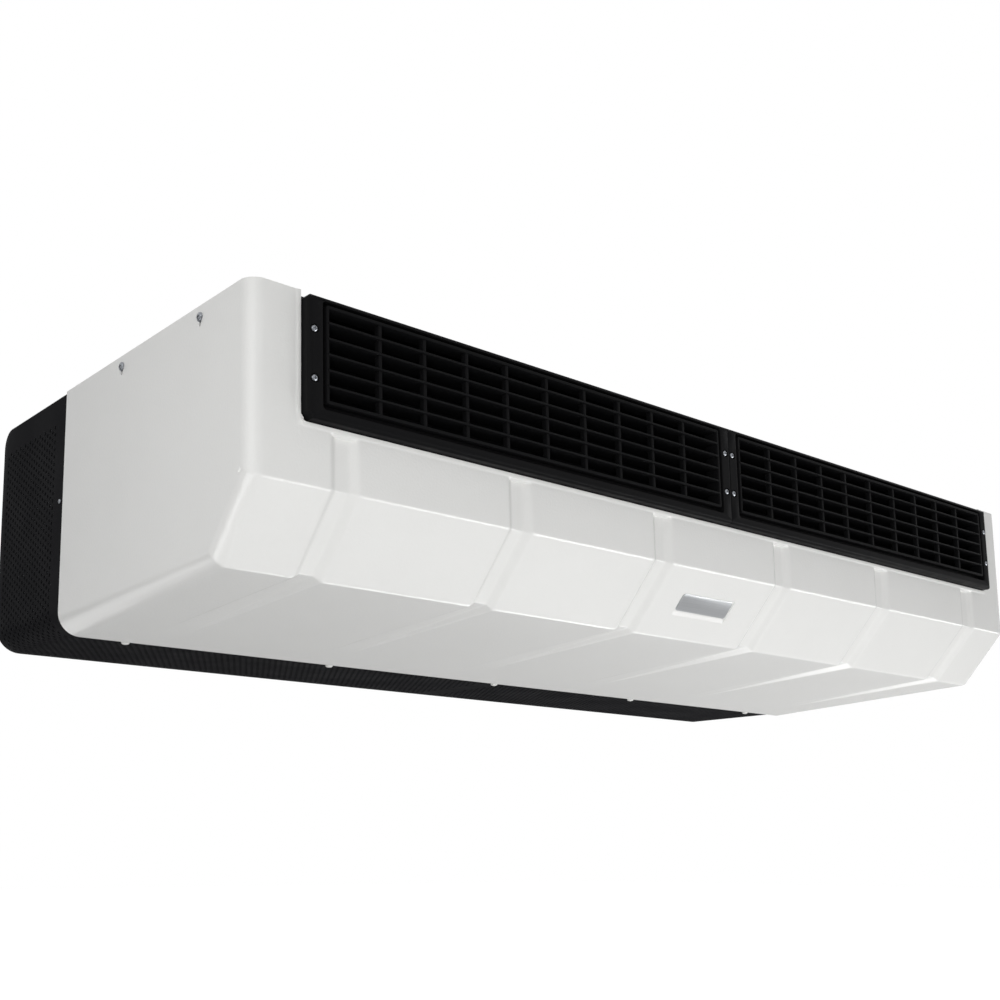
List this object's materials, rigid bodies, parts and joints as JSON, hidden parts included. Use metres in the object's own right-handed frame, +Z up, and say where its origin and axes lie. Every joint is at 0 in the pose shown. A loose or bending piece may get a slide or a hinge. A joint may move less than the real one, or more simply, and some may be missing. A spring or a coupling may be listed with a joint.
{
  "type": "dual blower evaporator",
  "caption": "Ceiling-hung evaporator: white moulded front, black louvre grilles, perforated return-air guard, coil, drain pan and spinning blower rotors.",
  "frame": {"origin": "middle of the four ceiling bolt slots, on the ceiling plane", "axes": "+X along the unit to its right as seen from the discharge side, +Y to the rear, +Z up to the ceiling"},
  "size_m": [1.2244, 0.6206, 0.2612],
  "materials": {
    "shell_plastic": "thermoformed white sheet, soft sheen",
    "grille_plastic": "moulded black",
    "guard_steel": "black powder coat",
    "galvanised_steel": "galvanised sheet",
    "fin_aluminium": "mill finish",
    "badge_aluminium": "fine brushed",
    "copper": "drawn copper tube",
    "valve_brass": "machined",
    "grommet_rubber": "moulded",
    "wheel_plastic": "moulded",
    "scroll_plastic": "moulded",
    "motor_paint": "black enamel",
    "shaft_steel": "ground",
    "filter_foam": "open-cell foam",
    "pan_plastic": "vacuum-formed",
    "block_plastic": "moulded",
    "resistor_enamel": "enamelled",
    "white_screws": "white painted head",
    "zinc_screws": "zinc plated"
  },
  "bodies": {
    "housing": {"badge_plate": "badge_aluminium", "blower_resistor": "resistor_enamel", "bottom_rail": "galvanised_steel", "bottom_screws": "white_screws", "coil_fin_pack": "fin_aluminium", "discharge_frame": "guard_steel", "distributor_tubes": "copper", "drain_pan": "pan_plastic", "expansion_valve": "valve_brass", "filter_frame": "fin_aluminium", "filter_pad": "filter_foam", "front_shell": "shell_plastic", "grille_screws": "zinc_screws", "guard_screws": "zinc_screws", "inlet_rings": "wheel_plastic", "left_blower_motor": "motor_paint", "left_discharge_grille": "grille_plastic", "left_discharge_plenum": "guard_steel", "left_drain_spigot": "pan_plastic", "left_end_frame": "galvanised_steel", "left_inner_scroll_housing": "scroll_plastic", "left_motor_bracket": "galvanised_steel", "left_mounting_strap": "galvanised_steel", "left_outer_scroll_housing": "scroll_plastic", "left_tube_sheet": "galvanised_steel", "liquid_grommet": "grommet_rubber", "liquid_line": "copper", "rear_panel": "galvanised_steel", "return_air_guard": "guard_steel", "return_bends": "copper", "right_blower_motor": "motor_paint", "right_discharge_grille": "grille_plastic", "right_discharge_plenum": "guard_steel", "right_drain_spigot": "pan_plastic", "right_end_frame": "galvanised_steel", "right_inner_scroll_housing": "scroll_plastic", "right_motor_bracket": "galvanised_steel", "right_mounting_strap": "galvanised_steel", "right_outer_scroll_housing": "scroll_plastic", "right_tube_sheet": "galvanised_steel", "shell_side_screws": "zinc_screws", "suction_grommet": "grommet_rubber", "suction_header": "copper", "suction_line": "copper", "terminal_block": "block_plastic", "top_panel": "galvanised_steel", "wire_grommet": "grommet_rubber"},
    "left_blower_rotor": {"left_motor_shaft": "shaft_steel", "left_outer_blower_wheel": "wheel_plastic", "left_inner_blower_wheel": "wheel_plastic"},
    "right_blower_rotor": {"right_motor_shaft": "shaft_steel", "right_outer_blower_wheel": "wheel_plastic", "right_inner_blower_wheel": "wheel_plastic"}
  },
  "joints": [
    {"name": "left_blower_spin", "type": "hinge", "parent": "housing", "child": "left_blower_rotor", "pos_m": [-0.3, -0.1184, -0.112], "axis": [1, 0, 0], "continuous": true},
    {"name": "right_blower_spin", "type": "hinge", "parent": "housing", "child": "right_blower_rotor", "pos_m": [0.3, -0.1184, -0.112], "axis": [1, 0, 0], "continuous": true}
  ]
}
